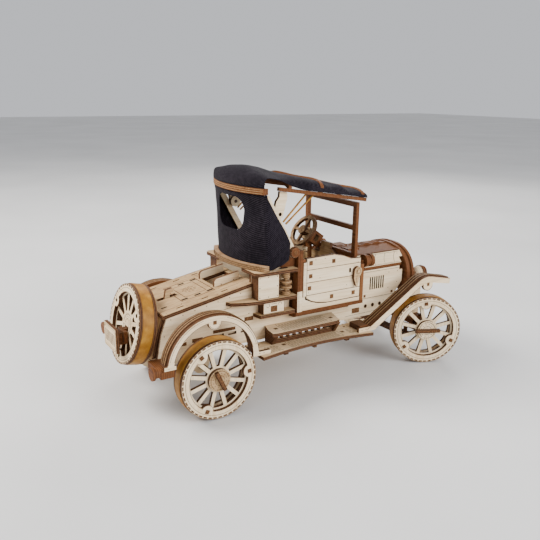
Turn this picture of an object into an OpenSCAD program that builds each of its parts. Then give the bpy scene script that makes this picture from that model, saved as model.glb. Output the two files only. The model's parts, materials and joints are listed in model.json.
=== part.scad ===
// Flat-pack plywood roadster: a press-together mechanical puzzle with a soft top.
// Lengths are in millimetres. The drawing is laid out from the rear axle, +X forward, +Y to the
// car's left, +Z up from the ground, and is then moved so that its origin lies mid-length.

/* [Stock] */
// Thickness of the plywood sheet
ply = 3; // [2.8:0.1:3.2]
// Radial running clearance of a turning pin
fit = 0.05; // [0.03:0.01:0.09]

/* [Wheels] */
// Radius of a wheel's outer plate
wheel_r = 33; // [32:0.5:33]
// Number of spokes in a wheel
spokes = 12; // [8:2:16]
// Distance from the middle plane to a rear wheel's outer face
half_track = 64; // [63:0.5:65]
// Distance between the axles
wheelbase = 233.7; // [233:0.5:235]
// Angle to which the front wheels are turned at rest
steer = 24.6; // [20:0.2:26]

/* [Body] */
// Half the width of the boat tail and bonnet
body_hw = 33; // [32:0.5:33.5]
// Height of the cabin floor
floor_z = 50; // [48:0.5:50]
// Height of the running boards' top face
board_z = 44.6; // [44:0.2:46]
// Rake of the rear deck, in degrees
deck_rake = 11; // [10:0.5:12]

/* [Soft top] */
// Height of the rear header above the ground
header_z = 176; // [174:1:178]
// Drop of the roof rails towards the windscreen, in degrees
roof_drop = 9.5; // [9:0.5:10]

/* [Hidden] */
$fn = 48;
mid_x = 103.2;                  // origin's distance ahead of the rear axle
tyre_r = wheel_r + 0.4;
axle_z = tyre_r;
pin_r = 2.5;
rail_y = 27;                    // inner face of a chassis rail
king = [wheelbase, 44, axle_z]; // left kingpin
king_to_face = 22;              // kingpin to the wheel's outer face
arm_l = 14;                     // steering arm
hub = [133, 17, 126];           // steering wheel centre
column_rake = 35;
hinge = [93.5, 41.5];           // left door hinge, in plan
fold = [81, 124];               // soft-top pivot, in side view
spare_c = [-54.3, 0, 70.6];
spare_tilt = 11.6;

face = "#e3c79a";
edge = "#6b3f23";
deck_c = "#c9ab7c";
rubber = "#b5852c";
cloth = "#2f2b38";

// ---- helpers -------------------------------------------------------------------------------

// A plate in the side plane, drawn in (x, z), between y0 and y0 + th
module side_plate(y0, th = ply) {
    translate([0, y0 + th, 0]) rotate([90, 0, 0]) linear_extrude(th) children();
}

// A plate across the car, drawn in (y, z), between x0 and x0 + th
module cross_plate(x0, th = ply) {
    translate([x0, 0, 0]) rotate([90, 0, 90]) linear_extrude(th) children();
}

// A flat plate, drawn in (x, y), between z0 and z0 + th
module flat_plate(z0, th = ply) {
    translate([0, 0, z0]) linear_extrude(th) children();
}

// The children on the left and mirrored to the right
module both_sides() {
    children();
    mirror([0, 1, 0]) children();
}

// A box between two corners
module block(a, b) {
    translate(a) cube(b - a);
}

// A round bar along Y, centred on y = 0
module y_bar(x, z, r, len) {
    translate([x, 0, z]) rotate([90, 0, 0]) cylinder(r = r, h = len, center = true);
}

// Points of an arc about c
function arc(c, r, a0, a1, n = 16) =
    [for (i = [0:n]) let (a = a0 + (a1 - a0) * i / n) c + r * [cos(a), sin(a)]];

// A square-ended peg hole's square, centred on p
module peg(p, s = ply) {
    translate(p) square(s, center = true);
}

// ---- wheel: drawn about its centre with the outer face at y = 0 and its depth towards -y ------

rim_in = 26;
lobe_at = 27;
lobe_r = 5.5;
spoke_rim_in = 24.5;
hub_r = 9.4;

module wheel_disc(y0, th) {
    translate([0, y0, 0]) rotate([90, 0, 0]) linear_extrude(th) children();
}

module lobes(turn) {
    for (a = [0:120:240]) rotate(a + turn) translate([lobe_at, 0]) circle(lobe_r);
}

module wheel_rim(turn = 0) {
    wheel_disc(0, ply) difference() {
        union() {
            difference() { circle(wheel_r, $fn = 96); circle(rim_in, $fn = 96); }
            intersection() { circle(wheel_r - 1); lobes(turn); }
        }
        for (a = [0:120:240]) rotate(a + turn) peg([lobe_at, 0], 3.2);
    }
    wheel_disc(-12, ply) difference() { circle(wheel_r, $fn = 96); circle(rim_in, $fn = 96); }
    wheel_disc(-6, 6) difference() { circle(wheel_r - 2, $fn = 96); circle(rim_in + 2, $fn = 96); }
}

module wheel_spokes(bore, turn = 0, bar = 0) {
    wheel_disc(-3.0, ply) difference() {
        union() {
            difference() { circle(wheel_r - 2, $fn = 96); circle(spoke_rim_in, $fn = 96); }
            circle(11);
            for (i = [0:spokes - 1]) rotate(i * 360 / spokes + 15) {
                translate([8, -1.6]) square([spoke_rim_in - 7, 3.2]);
            }
        }
        circle(bore);
    }
    wheel_disc(-6, 9) difference() { circle(5.2); circle(bore); }
    wheel_disc(0.2, 3.2) circle(hub_r);
    bar_reach = bar > 0 ? 8.8 : 12;
    rotate([0, bar, 0]) block([-bar_reach, 0, -1.5], [bar_reach, 3.4, 1.5]);
    for (a = [0:120:240]) rotate([0, -a - turn, 0]) {
        block([lobe_at - 1.6, -3, -1.6], [lobe_at + 1.6, 0.6, 1.6]);
    }
}

module wheel_tyre() {
    wheel_disc(-3, 9) difference() {
        circle(tyre_r, $fn = 96);
        circle(wheel_r - 2, $fn = 96);
    }
}

// Puts a left-hand wheel (outer face towards +y) on its axle
module at_rear_left() { translate([0, half_track, axle_z]) children(); }

// Turns the children about the left kingpin to the rest lock
module at_left_king() { translate(king) rotate(-steer) children(); }
module at_right_king() { translate([king.x, -king.y, king.z]) rotate(-steer) mirror([0, 1, 0]) children(); }
module front_wheel_place() { translate([0, king_to_face, 0]) children(); }

// ---- chassis --------------------------------------------------------------------------------

rail_top = 64;

module chassis_rails() {
    color(face) both_sides() side_plate(rail_y) difference() {
        union() {
            polygon([[-38, 48], [-30, rail_top], [246, rail_top], [246, 50], [204, 47], [-30, 46]]);
            polygon(concat([[-12, 47]], arc([0, axle_z], 7, 200, 340), [[12, 47]]));
            polygon([[222, 36], [222, 50], [245, 50], [245, 36]]);
        }
        translate([0, axle_z]) circle(pin_r + fit);
        for (i = [0:2]) translate([174.5 + 8.8 * i, 56.5]) circle(1.9);
        translate([204, 56.5]) circle(2.5);
    }
}

module floor_plate() {
    color(deck_c) flat_plate(floor_z) difference() {
        translate([-30, -rail_y]) square([180, 2 * rail_y]);
        translate([-10, -12]) square([20, 24]);
    }
}

module cross_members() {
    color(face) for (x = [-34, 152, 176, 216, 240]) cross_plate(x) difference() {
        translate([-rail_y, 47.5]) square([2 * rail_y, 14]);
        translate([0, 54.5]) circle(4);
    }
}

module front_axle_beam() {
    color(edge) {
        block([king.x - 4.5, -39, 31], [king.x + 4.5, 39, 36]);
        both_sides() difference() {
            union() {
                block([king.x - 4.5, 35, 25.9], [king.x + 4.5, 39, 41]);
                for (z = [25.9, 38]) {
                    block([king.x - 4.5, 35, z], [king.x + 4.5, king.y, z + ply]);
                    translate([king.x, king.y, z]) cylinder(r = 4.5, h = ply);
                }
            }
            translate([king.x, king.y, 20]) cylinder(r = 2 + fit, h = 30);
        }
    }
}

module running_board(turned = false) {
    length = 116;
    bow = 7;
    outer = [for (i = [0:12]) let (u = i / 6 - 1)
        [40 + length * i / 12, 65 - bow * (1 - u * u)]];
    color(deck_c) {
        flat_plate(board_z - ply) difference() {
            polygon(concat([[40, body_hw + 0.2]], outer, [[40 + length, body_hw + 0.2]]));
            for (x = [50, 142]) peg([x, 39], 2);
        }
        for (x = [70, 136]) block([x - 2, 50, board_z - ply - 5], [x + 2, 53, board_z - ply]);
    }
    color(edge) for (x = [52, 98, 144]) {
        block([x - 1.5, rail_y + 3, board_z - 6], [x + 1.5, 56, board_z - ply]);
    }
}

module running_board_left() { running_board(); }
module running_board_right() { mirror([0, 1, 0]) running_board(); }

module entry_steps() {
    top = 58.6;
    color(deck_c) both_sides() {
        flat_plate(top - ply) polygon([[60, 33.2], [56.5, 44], [55.5, 54], [60, 55], [122, 54],
            [126, 52.5], [131.5, 33.2]]);
        side_plate(41) difference() {
            polygon([[63, board_z], [63, top - ply], [125, top - ply], [125, board_z]]);
            for (i = [0:8]) translate([65.5 + 6.6 * i, board_z + 4]) square([4.4, 5]);
        }
        for (x = [60, 125.1]) cross_plate(x) polygon([[33.2, board_z], [33.2, top - ply],
            [52, top - ply], [44.3, board_z]]);
    }
}

// ---- tail -----------------------------------------------------------------------------------

deck_rear = [-34, 80.7];
bay_x = 46;

function deck_at(x) = deck_rear.y + (x - deck_rear.x) * tan(deck_rake);

module tail_sides() {
    color(face) both_sides() side_plate(body_hw - ply) difference() {
        polygon([[-40, 46.5], [-36, 68], [-31, deck_at(-31) - 0.2], [bay_x, deck_at(bay_x) - 0.2],
            [bay_x, 107], [84.5, 107], [84.5, 63], [94, 63], [94, 46.5]]);
        translate([0, axle_z]) circle(22);
        for (i = [0:2]) translate([12 + 12 * i, 56.5]) square([8, 2.6]);
    }
    // Cheeks of the locker, standing on the deck
    color(face) both_sides() side_plate(12.4) polygon(concat(
        arc([24, deck_at(24) + ply + 3.2], 3.4, 195, 100, 8),
        [[44, deck_at(44) + ply + 6.4], [44, deck_at(44) + ply + 0.1], [20.6, deck_at(20.6) + ply + 0.1]]));
}

module tail_deck() {
    // Deck plate, raked, with the lever slot and the locker opening behind the curtain
    color(deck_c) {
        difference() {
            side_plate(-35, 70) polygon([deck_rear, deck_rear + [0, ply],
                [49, deck_at(49) + ply], [49, deck_at(49)]]);
            block([-25, -2.5, 70], [-8, 2.5, 110]);
            block([22, -12, 70], [44, 12, 110]);
            both_sides() {
                for (x = [-20, 2, 20]) block([x, 28, 70], [x + 6, 29.5, 110]);
                block([45.9, 29.9, 70], [50, 36, 110]);
            }
        }
        // Cheeks and pin of the deck lever
        both_sides() block([lever_p.x - 3, 3, lever_p.y - 4], [lever_p.x + 3, 6, deck_at(lever_p.x) + 1]);
        y_bar(lever_p.x, lever_p.y, 1.2, 10);
    }
}

module tail_panel() {
    color(deck_c) side_plate(3 - body_hw, 2 * body_hw - 6) polygon([[-43, 48], [-38.6, 48],
        [-34.4, 68], [-31, 80.4], [-34, 80.4], [-38, 68]]);
}

module quarter_shelves() {
    color(deck_c) both_sides() {
        flat_plate(107.2) polygon([[43, 22], [43, 44], [46, 47], [84, 47], [84, 33.2], [84, 22]]);
        flat_plate(83) polygon([[22, 33.1], [24, 38], [36, 43], [50, 45.5], [84.5, 45.5], [84.5, 33.1]]);
        flat_plate(69) polygon([[48, 33.1], [50, 43], [84.5, 43], [84.5, 33.1]]);
    }
}

module quarter_boxes() {
    color(face) both_sides() {
        difference() {
            block([46.5, 33.1, 86.2], [67, 44, 107]);
            block([49.5, 30, 83], [64, 41, 110]);
        }
        difference() {
            block([53, 33.1, 72.2], [74, 42, 82.8]);
            block([56, 30, 70], [71, 39, 90]);
        }
    }
}

module side_lanterns() {
    color(edge) both_sides() translate([76.5, 39.5, 86.2]) {
        cylinder(r = 4, h = 3);
        cylinder(r = 1.6, h = 20.8);
        translate([0, 0, 6]) cylinder(r = 5.2, h = 2.2);
        translate([0, 0, 10.5]) cylinder(r = 5.2, h = 1.6);
        translate([0, 0, 15]) cylinder(r = 3.6, h = 5.8);
    }
}

module spare_bracket() {
    color(edge) {
        block([-63.2, -3, 54], [-55, 3, 64]);
        block([-55.2, -3, 58], [-40.6, 3, 67]);
        block([-57, -8, 56], [-54, 8, 66]);
    }
}

module number_plate() {
    color(face) cross_plate(-66.4) difference() {
        translate([-14.5, 51.5]) square([28, 20]);
        both_sides() translate([11, 68.6]) circle(0.9, $fn = 16);
    }
}

module at_spare() {
    translate(spare_c) rotate([0, spare_tilt, 0]) rotate([0, 0, 90]) children();
}

module spare_rim() { color(face) at_spare() wheel_rim(30); }
module spare_spokes() {
    color(face) at_spare() wheel_disc(-3, ply) difference() {
        union() {
            difference() { circle(wheel_r - 2, $fn = 96); circle(spoke_rim_in, $fn = 96); }
            circle(11);
            for (i = [0:spokes - 1]) rotate(i * 360 / spokes + 15) {
                translate([8, -1.6]) square([spoke_rim_in - 7, 3.2]);
            }
        }
        translate([-4, -16]) square([8, 14]);
    }
}
module spare_tyre() { color(rubber) at_spare() wheel_tyre(); }

// ---- cabin ----------------------------------------------------------------------------------

sill_z = 69.1;

module door_frame() {
    color(edge) {
        block([86, 36, sill_z], [88, 44, 124]);
        block([88.2, 36, sill_z], [91, 44, 124]);
        block([155.9, 36, sill_z], [159.4, 43, 103.6]);
        block([85, 33.2, sill_z - ply], [159.4, 43.5, sill_z]);
        block([85, 33.2, sill_z - 5.4], [146, 39.5, sill_z - 3.2]);
        for (z = [79.2, 113.2]) block([91, 40.2, z], [94.6, 42.8, z + 2.4]);
        translate([hinge.x, hinge.y, 79.5]) cylinder(r = 1, h = 36);
        side_plate(36.5) difference() {
            polygon(concat(arc(fold, 6, 20, 200), [[72, 110.4], [84.8, 110.4]]));
        }
        translate([fold.x, 47.4, fold.y]) rotate([90, 0, 0]) cylinder(r = 2, h = 10);
    }
    color(face) side_plate(39.5) polygon([[91.2, sill_z], [155.7, sill_z], [155.7, 72.7],
        [117, 72.7], [108, 73.9], [101, 76.2], [94.6, 79.2], [91.2, 79.2]]);
}

module door_frame_left() { door_frame(); }
module door_frame_right() { mirror([0, 1, 0]) door_frame(); }

module seat() {
    color(deck_c) {
        block([93, -26, 75], [119, 26, 78]);
        for (y = [-24, -8, 8, 21]) block([93, y, 53], [116, y + 3, 75]);
        block([89, -27, 53], [92, 27, 105]);
        for (y = [-20:10:20]) block([92, y - 1.5, 79], [94, y + 1.5, 104]);
    }
}

module at_column() { translate(hub) rotate([0, 90 + column_rake, 0]) children(); }

module dashboard() {
    color(deck_c) difference() {
        union() {
            cross_plate(146.8) polygon(concat([[-32.8, 64.2], [-32.8, 69.3], [-36, 69.3], [-36, 100]],
                arc([0, 75], 37, 138, 42), [[36, 100], [36, 69.3], [32.8, 69.3], [32.8, 64.2]]));
            cross_plate(146.8) translate([0, 113]) square([14, 8], center = true);
        }
        at_column() block([-9, -8, -2], [9, 8, 24]);
        block([146, -12, 90], [151, -2, 100]);
    }
}

module steering_column() {
    color(deck_c) difference() {
        union() {
            at_column() difference() {
                block([-6, -7, 5], [6, 7, 19]);
                block([-3.2, -8, 10], [3.2, 8, 15]);
            }
            block([139, 15.5, 53], [142, 18.5, 112]);
        }
        at_column() translate([0, 0, -1]) cylinder(r = 2 + fit, h = 40);
    }
}

module steering_wheel() {
    color(edge) at_column() {
        difference() {
            union() {
                translate([0, 0, -1.5]) difference() {
                    cylinder(r = 16, h = ply);
                    translate([0, 0, -1]) cylinder(r = 12.6, h = 5);
                }
                for (a = [0:90:270]) rotate(a) block([3, -1.3, -1.2], [13.2, 1.3, 1.2]);
                translate([0, 0, -3]) cylinder(r = 4.5, h = 5);
            }
        }
        cylinder(r = 2, h = 18.5);
    }
}

module windscreen() {
    color(edge) cross_plate(150.3, 3.3) difference() {
        polygon([[-39.7, 104], [-39.7, 160], [39.7, 160], [39.7, 104]]);
        translate([-34.7, 138.5]) square([69.4, 16.9]);
        translate([-34.7, 113]) square([69.4, 21]);
        translate([-34.7, 103]) square([69.4, 6]);
    }
}

module cowl_trim() {
    color(edge) {
        // Hoop between the bonnet and the cabin
        cross_plate(160, 2.8) difference() {
            polygon(concat(arc([0, 75.5], 34.2, 5, 175), [[-28, 64.2], [28, 64.2]]));
            polygon(concat(arc([0, 75.5], 28, 5, 175), [[-22, 66], [22, 66]]));
        }
        // Ridge with a scalloped crest, and its block against the cabin
        side_plate(-3.4, 6.8) polygon(concat([[163, 105.8], [163, 109.4]],
            [for (i = [0:23]) [165 + 2.2 * i, 110.3 + 0.9 * sin(i * 60)]], [[219, 109.4], [219, 105.8]]));
        both_sides() block([163, 3.4, 108.8], [176, 15, 110.6]);
        // Crown leaves beside the ridge
        cross_plate(163, 57.5) for (s = [-1, 1]) {
            polygon([[s * 21.5, 105.9], [s * 3.5, 108.7], [s * 3.5, 105.7], [s * 19.4, 103.5]]);
        }
        // Hinge rails under the bonnet's sloping leaves
        both_sides() block([165, 26.6, 92.7], [216, 31, 95.2]);
        both_sides() translate([162.9, 37.2, 104.5]) rotate([0, 90, 0]) {
            for (i = [0:2]) translate([0, 0, 3.2 * i]) cylinder(r = i == 1 ? 5 : 5.8, h = 3.2);
        }
        both_sides() block([159.7, 34, 103.3], [162.9, 38.5, 105.7]);
    }
}

module louvre_slots() {
    for (i = [0:6]) translate([177.5 + 2.65 * i, 72.5]) square([1.6, 12.5]);
}

module bonnet_sides() {
    color(face) both_sides() side_plate(28) difference() {
        polygon([[163, 64.5], [163, 90.6], [167, 92.4], [214.5, 92.4], [214.5, 88.5], [218.5, 88.5],
            [218.5, 76], [209, 64.5]]);
        louvre_slots();
    }
}

module bonnet_top() {
    // Two sloping leaves
    color(face) difference() {
        cross_plate(163, 57.5) for (s = [-1, 1]) {
            polygon([[s * 31.5, 95.4], [s * 22.6, 105.2], [s * 20.2, 103], [s * 27.4, 95.4]]);
        }
        both_sides() block([216, 20, 90], [225, 40, 100]);
        both_sides() block([163, 28.5, 90], [170, 40, 101]);
    }
}

module radiator_outline(w, h) {
    crest = [for (t = [0:6:180]) [w * sign(cos(t)) * pow(abs(cos(t)), 0.8), 76.5 + h * pow(sin(t), 0.8)]];
    polygon(concat(crest, [[-w, 64.5], [w, 64.5]]));
}

module radiator() {
    color(edge) {
        for (i = [0:2]) cross_plate(220.8 + i * (ply + 0.1)) difference() {
            radiator_outline(i == 1 ? 34.4 : 35.8, i == 1 ? 32 : 33.4);
            radiator_outline(28, 26);
        }
        cross_plate(223.9) difference() {
            radiator_outline(28, 26);
            for (y = [-20:5:20]) translate([y - 1.5, 66]) square([3, 30]);
        }
    }
}

module headlamps() {
    color(edge) both_sides() {
        block([230, 28.5, 74], [241, 32.5, 77]);
        translate([235, 30.5, 81.5]) rotate([0, 90, 0]) {
            cylinder(r1 = 2.4, r2 = 6.2, h = 6);
            translate([0, 0, 6]) cylinder(r = 6.8, h = 3);
            translate([0, 0, 9]) cylinder(r = 6, h = 2.8);
        }
        block([236, 29, 77], [240, 32, 78.5]);
    }
}

// ---- fenders --------------------------------------------------------------------------------

ff_c = [225, 62.4];     // centre of the front fender's crest
ff_r = 24;
ff_slope = 31.3;
ff_nose = 12;
ff_w = 6.2;             // depth of the fender's plate
rf_c = [-2, 46];        // centre of the rear fender
rf_r = 40.4;
rf_in = 35.2;
layer_y = 47.7;         // inner face of a fender's inner layer
layer_pitch = 3.1;
plate_y = 57;

// Points of the front fender's sweep at a distance below its crest line
function front_path(drop, nose_drop) = let (
    r = ff_r - drop, a = 90 + ff_slope, b = 90 - ff_nose,
    first = ff_c + r * [cos(a), sin(a)], last = ff_c + (ff_r - nose_drop) * [cos(b), sin(b)])
    concat([first - 68 * [cos(ff_slope), sin(ff_slope)]], arc(ff_c, r, a, b + 4, 10),
        [last + 25.5 * [cos(ff_nose), -sin(ff_nose)]]);

module front_sweep(top, bottom, nose_bottom) {
    under = front_path(bottom, nose_bottom);
    intersection() {
        polygon(concat(front_path(top, top), [for (i = [len(under) - 1:-1:0]) under[i]]));
        translate([100, board_z + 0.1]) square([200, 60]);
    }
}

module front_fender_plates() {
    color(face) both_sides() side_plate(plate_y) difference() {
        union() {
            front_sweep(0, ff_w, 5.2);
            translate([143, board_z + 0.1]) square([16, 4]);
            translate([225.4, 78.4]) circle(6);
        }
        peg([225.4, 78.6], 3.2);
    }
}

module front_fender_skins() {
    color(edge) both_sides() for (i = [0:2]) side_plate(layer_y + i * layer_pitch) {
        front_sweep(-0.8, 5.2, 3.6);
        translate([146.5, board_z + 0.1]) square([10, 4.8]);
    }
    color(edge) both_sides() side_plate(41.6, 6) translate([146.5, board_z + 0.1]) square([12, 4.8]);
}

// A band along the rear fender's arch
module rear_arch(r0, r1, a0, a1) {
    polygon(concat(arc(rf_c, r1, a0, a1, 36), arc(rf_c, r0, a1, a0, 36)));
}

module rear_fender_plates() {
    color(face) both_sides() side_plate(plate_y) difference() {
        union() {
            rear_arch(rf_in, rf_r, 0, 174);
            translate([-1.7, 80.6]) circle(5.6);
            translate([33, board_z + 0.1]) square([16.5, 3.4]);
            translate([-44.6, 49]) square([9.6, 3]);
        }
        peg([-1.7, 80.8], 3.2);
    }
}

module rear_fender_skins() {
    color(edge) both_sides() for (i = [0:2]) side_plate(layer_y + i * layer_pitch) {
        rear_arch(36.6, rf_r + 0.8, 0, 174);
    }
}

module tail_lamps() {
    color(edge) both_sides() {
        block([-47.6, 33.2, 43], [-40.2, 34, 48.8]);
        block([-47.6, 34, 43], [-36, 60, 45.9]);
        block([-47.6, 34, 46], [-36, 60, 48.8]);
        translate([-54.6, 57.6, 48.4]) rotate([0, 90, 0]) {
            cylinder(r = 5.4, h = 2);
            translate([0, 0, 2]) cylinder(r = 4, h = 4.8);
        }
    }
}

// ---- soft top -------------------------------------------------------------------------------

bow_x = [7, 39, 59, 84.5];        // along the rails
bow_h = [8, 11.2, 7.2, 8];      // heights over the rails
rail_rear = [68, header_z + 3];

// The roof's own frame: x along the rails, z square to them
module on_roof() { translate([rail_rear.x, 0, rail_rear.y]) rotate([0, roof_drop, 0]) children(); }

// Height over the rails of a flat-topped hoop with raised shoulders
function hoop(y, h) = h * (0.93 + 0.1 * pow(y / 30, 2)) * pow(1 - pow(abs(y) / 46.5, 5), 0.6);

// A band in (y, z) between two hoops, no lower than the rails' top
module hoop_band(h, depth) {
    ys = [for (i = [-22:22]) 2 * i];
    polygon(concat([for (y = ys) [y, hoop(y, h)]],
        [for (i = [len(ys) - 1:-1:0]) [ys[i], max(0.05, hoop(ys[i], h) - depth)]]));
}

module roof_rails() {
    color(edge) both_sides() on_roof() block([-2, 40.5, -ply], [91, 44, 0]);
}

module roof_bows() {
    color(edge) {
        for (i = [0:3]) on_roof() cross_plate(bow_x[i]) {
            intersection() {
                hoop_band(bow_h[i], 5.5);
                translate([-40.3, 0]) square([80.6, 20]);
            }
            for (s = [-1, 1]) intersection() {
                hoop_band(bow_h[i], 20);
                translate([s * 42.2 - 1.9, 0]) square([3.8, 20]);
            }
        }
        // Rear header, bowed backwards
        flat_plate(header_z - 2, 5) polygon(concat(arc([140, 0], 99.5, 153.7, 206.3, 18),
            arc([140, 0], 95.5, 207.4, 152.6, 18)));
    }
}

module roof_canopy() {
    slabs = [[-15, 53.8, 10.4], [42.2, 16.6, 8.2], [62.2, 22.1, 6.6]];
    color(cloth) {
        for (c = slabs) on_roof() cross_plate(c[0], c[1]) hoop_band(c[2], 1);
        flat_plate(179.1, 3.4) polygon(concat(arc([140, 0], 99, 153.7, 206.3, 18),
            arc([140, 0], 97.8, 206.6, 153.4, 18)));
    }
}

module roof_arms() {
    top = [54.5, header_z - 5];
    knee = [69, 156.5];
    d = top - fold;
    side = 2.6 * [-d.y, d.x] / norm(d);
    color(face) both_sides() {
        side_plate(41, 3) difference() {
            union() {
                translate(fold) circle(4.8);
                polygon([fold + side, fold - side, top - side, top + side]);
                translate(top) circle(2.6);
            }
            translate(fold) circle(2 + fit);
        }
        side_plate(37.8, 3) difference() {
            polygon([[65.6, 153], [71.4, 153.6], [73.6, 162], [75.6, 169], [75.6, 174.2],
                [68.4, 175.3], [68, 171], [65.2, 167.4], [63.9, 162]]);
            translate(knee) circle(1.6);
        }
    }
    color(edge) both_sides() {
        translate([fold.x, 46.8, fold.y]) rotate([90, 0, 0]) difference() {
            cylinder(r = 4.4, h = 2.8);
            translate([0, 0, -1]) cylinder(r = 2 + fit, h = 5);
        }
        translate([knee.x, 37.6, knee.y]) rotate([90, 0, 0]) difference() {
            cylinder(r = 5, h = 2.6);
            translate([0, 0, -1]) cylinder(r = 1.6, h = 5);
        }
    }
}

module roof_elastics() {
    pulls = [[[73, 149.5], [95, 170.9]], [[75.6, 147.5], [102.5, 169.6]]];
    color(rubber) both_sides() for (pull = pulls) {
        low = pull[0];
        d = pull[1] - low;
        translate([low.x, 39.2, low.y]) rotate([0, atan2(d.x, d.y), 0]) cylinder(r = 0.8, h = norm(d));
    }
}

module curtain_strip() {
    color(edge) {
        flat_plate(110.4, 4.6) polygon(concat(arc([125, 0], 86.5, 148.2, 211.8, 18),
            arc([125, 0], 82.5, 213.4, 146.6, 18)));
    }
}

module rear_curtain() {
    // Hung between the strip and the header, with wings that reach forward to the arms
    color(cloth) {
        difference() {
            side_plate(-45.9, 91.8) polygon([[48.2, 115.2], [49.4, 115.2], [53, 173.8], [51.8, 173.8]]);
            translate([45, 0, 155.5]) rotate([90, 0, 90]) linear_extrude(10) offset(12) {
                square([22, 5], center = true);
            }
            both_sides() block([40, 40, 165], [60, 44.2, 175]);
        }
        both_sides() side_plate(44.7, 1.2) polygon([[49, 115.2], [52.6, 173.8], [53.4, 173.8],
            [77, 130.4], [74, 121], [60, 115.2]]);
    }
}

// ---- doors ----------------------------------------------------------------------------------

latch = [150.3, 98.4];

module door() {
    color(face) difference() {
        union() {
            side_plate(40) polygon([[95.6, 80.3], [101, 77], [108, 74.7], [118, 73.3], [155.4, 73.3],
                [155.4, 110], [144, 110.6], [136, 114], [125, 116.6], [95.6, 116]]);
            block([94.4, 40, 82.2], [96, 43, 112.6]);
            translate([hinge.x, hinge.y, 82.2]) cylinder(r = 1.9, h = 30.4);
        }
        translate([hinge.x, hinge.y, 70]) cylinder(r = 1 + fit, h = 50);
        translate([latch.x, 50, latch.y]) rotate([90, 0, 0]) cylinder(r = 1.5 + fit, h = 20);
        block([142.2, 38, 97.4], [144.4, 45, 101.6]);
    }
}

module handle() {
    color(deck_c) {
        side_plate(43.3) {
            hull() { translate(latch) circle(4.2); translate(latch + [-1.6, -6]) circle(3); }
            hull() { translate(latch + [-1.6, -6]) circle(3); translate(latch + [-1, -13.5]) circle(0.8); }
        }
        translate([latch.x, 47, latch.y]) rotate([90, 0, 0]) cylinder(r = 1.5, h = 8.5);
        translate([latch.x, 39.8, latch.y]) rotate([90, 0, 0]) cylinder(r = 2.6, h = 1.4);
    }
}

module door_left() { door(); }
module door_right() { mirror([0, 1, 0]) door(); }
module handle_left() { handle(); }
module handle_right() { mirror([0, 1, 0]) handle(); }

// ---- steering and axles ---------------------------------------------------------------------

module knuckle() {
    // Drawn about the left kingpin: stub axle towards +y, steering arm towards -x
    color(edge) {
        translate([0, 0, 29.3 - axle_z]) cylinder(r = 4.4, h = 8.4);
        translate([0, 0, 24.4 - axle_z]) cylinder(r = 2, h = 18.4);
        rotate([-90, 0, 0]) cylinder(r = pin_r, h = king_to_face - 3.3);
        block([-arm_l, -2, 29.3 - axle_z], [-3, 2, 32.3 - axle_z]);
        translate([-arm_l, 0, 20 - axle_z]) cylinder(r = 2, h = 12.3);
    }
}

module knuckle_left() { at_left_king() knuckle(); }
module knuckle_right() { at_right_king() knuckle(); }

module tie_rod() {
    shift = arm_l * sin(steer);
    x0 = king.x - arm_l;
    x1 = king.x - arm_l * cos(steer);
    color(face) flat_plate(21.2) translate([0, shift]) difference() {
        union() {
            translate([x0 - 4, -king.y]) square([9.3, 2 * king.y]);
            for (s = [-1, 1]) translate([(x0 + x1) / 2, s * king.y]) circle(5.2);
        }
        for (s = [-1, 1]) {
            for (x = [x0, x1]) translate([x, s * king.y]) circle(2.2);
            translate([x0, s * king.y - 2.2]) square([x1 - x0, 4.4]);
        }
    }
}

bore_r = pin_r + fit;

module front_left_rim() { color(face) at_left_king() front_wheel_place() wheel_rim(96); }
module front_left_spokes() { color(face) at_left_king() front_wheel_place() wheel_spokes(bore_r, 96); }
module front_left_tyre() { color(rubber) at_left_king() front_wheel_place() wheel_tyre(); }
module front_right_rim() { color(face) at_right_king() front_wheel_place() wheel_rim(96); }
module front_right_spokes() { color(face) at_right_king() front_wheel_place() wheel_spokes(bore_r, 96); }
module front_right_tyre() { color(rubber) at_right_king() front_wheel_place() wheel_tyre(); }

module rear_axle() {
    color(edge) y_bar(0, axle_z, pin_r, 2 * half_track - 7);
    color(face) for (y = [-24, 20]) translate([0, y + 2, axle_z]) rotate([90, 0, 0]) {
        cylinder(r = 4.5, h = 2.5);
    }
}
module rear_rims() { color(face) both_sides() at_rear_left() wheel_rim(5); }
module rear_spokes() { color(face) both_sides() at_rear_left() wheel_spokes(pin_r, 5, 65); }
module rear_tyres() { color(rubber) both_sides() at_rear_left() wheel_tyre(); }

lever_p = [-17, 79];

module deck_lever() {
    color(deck_c) side_plate(-1.5, 3) difference() {
        union() {
            hull() { translate(lever_p) circle(3); translate(lever_p + [1, 13]) circle(1.8); }
            hull() { translate(lever_p + [1, 13]) circle(1.8); translate(lever_p + [5, 14]) circle(1.6); }
        }
        translate(lever_p) circle(1.2 + fit);
    }
}

// ---- the parts, moved so that the origin lies mid-length ------------------------------------

module place() { translate([-mid_x, 0, 0]) children(); }

place() chassis_rails();
place() floor_plate();
place() cross_members();
place() front_axle_beam();
place() running_board_left();
place() running_board_right();
place() entry_steps();
place() tail_sides();
place() tail_deck();
place() tail_panel();
place() quarter_shelves();
place() quarter_boxes();
place() side_lanterns();
place() door_frame_left();
place() door_frame_right();
place() seat();
place() dashboard();
place() steering_column();
place() windscreen();
place() cowl_trim();
place() bonnet_sides();
place() bonnet_top();
place() radiator();
place() headlamps();
place() front_fender_plates();
place() front_fender_skins();
place() rear_fender_plates();
place() rear_fender_skins();
place() tail_lamps();
place() spare_rim();
place() spare_spokes();
place() spare_tyre();
place() spare_bracket();
place() number_plate();
place() curtain_strip();
place() rear_curtain();
place() roof_arms();
place() roof_rails();
place() roof_bows();
place() roof_canopy();
place() roof_elastics();
place() door_left();
place() door_right();
place() handle_left();
place() handle_right();
place() steering_wheel();
place() knuckle_left();
place() knuckle_right();
place() tie_rod();
place() front_left_rim();
place() front_left_spokes();
place() front_left_tyre();
place() front_right_rim();
place() front_right_spokes();
place() front_right_tyre();
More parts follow.
